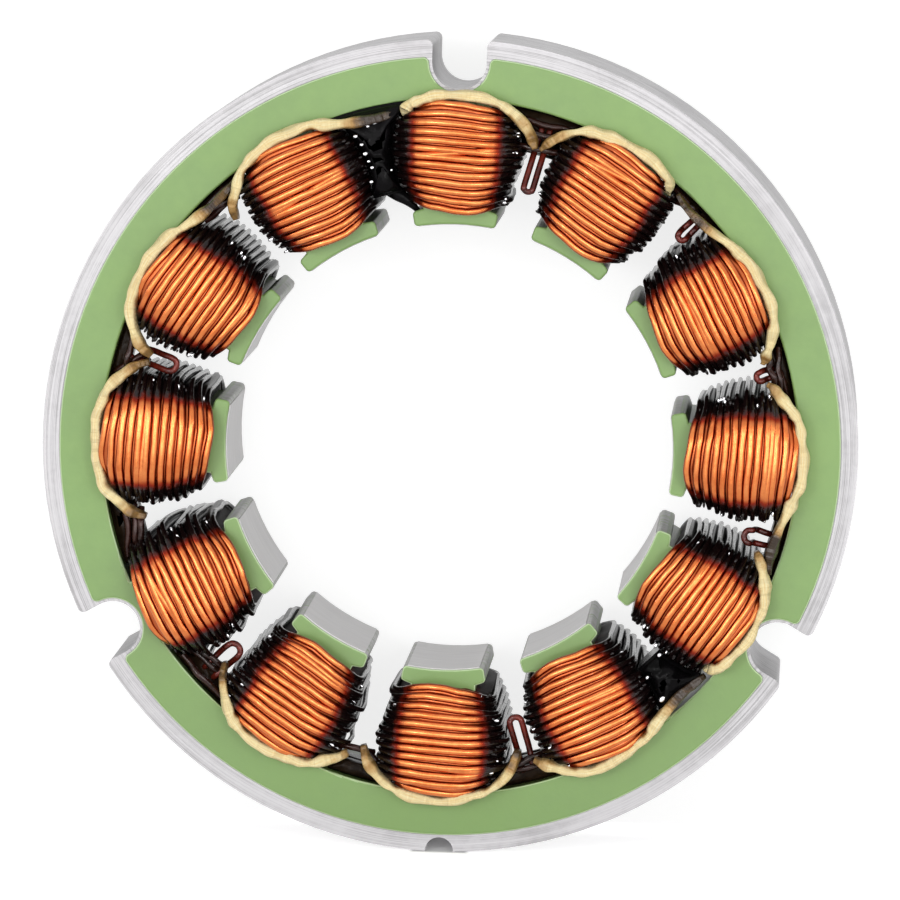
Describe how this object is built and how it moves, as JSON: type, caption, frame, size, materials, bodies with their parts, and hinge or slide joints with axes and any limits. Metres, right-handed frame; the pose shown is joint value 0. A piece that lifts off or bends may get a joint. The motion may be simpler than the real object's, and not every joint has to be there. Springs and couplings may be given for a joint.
{
  "type": "frameless motor stator",
  "caption": "Ring stator of an inner rotor frameless motor: bonded lamination stack, green coated slots, wound teeth, taped end turns, open rotor bore.",
  "frame": {"origin": "motor axis at the rear face of the lamination stack", "axes": "+Z along the motor axis towards the front, taped side; +Y through the middle of the first screw notch and the first tooth"},
  "size_m": [0.06, 0.0599, 0.0206],
  "materials": {
    "steel": "satin, fine turning lines, lamination edges on the outside",
    "coat": "smooth green epoxy powder coat with a thick soft lip",
    "copper": "glossy enamelled copper wire, varnished almost black in the slots",
    "tape": "cream woven tape, varnish soaked at its ends",
    "link": "dark red enamelled wire",
    "potting": "glossy black resin"
  },
  "bodies": {
    "root": {"lamination_stack": "steel", "insulation_coat": "coat", "coil_01": "copper", "coil_02": "copper", "coil_03": "copper", "coil_04": "copper", "coil_05": "copper", "coil_06": "copper", "coil_07": "copper", "coil_08": "copper", "coil_09": "copper", "coil_10": "copper", "coil_11": "copper", "coil_12": "copper", "crossover_tape_01": "tape", "crossover_tape_02": "tape", "crossover_tape_03": "tape", "crossover_tape_04": "tape", "crossover_tape_05": "tape", "crossover_tape_06": "tape", "crossover_tape_07": "tape", "crossover_tape_08": "tape", "crossover_tape_10": "tape", "crossover_tape_11": "tape", "crossover_tape_12": "tape", "link_wire_01": "link", "link_wire_02": "link", "link_wire_03": "link", "link_wire_04": "link", "link_wire_05": "link", "link_wire_06": "link", "link_wire_07": "link", "slot_potting_01": "potting", "slot_potting_02": "potting", "root_varnish_01": "potting", "root_varnish_02": "potting", "root_varnish_03": "potting", "root_varnish_04": "potting", "root_varnish_05": "potting", "root_varnish_06": "potting", "root_varnish_07": "potting", "root_varnish_08": "potting", "root_varnish_09": "potting", "root_varnish_10": "potting"}
  },
  "joints": []
}
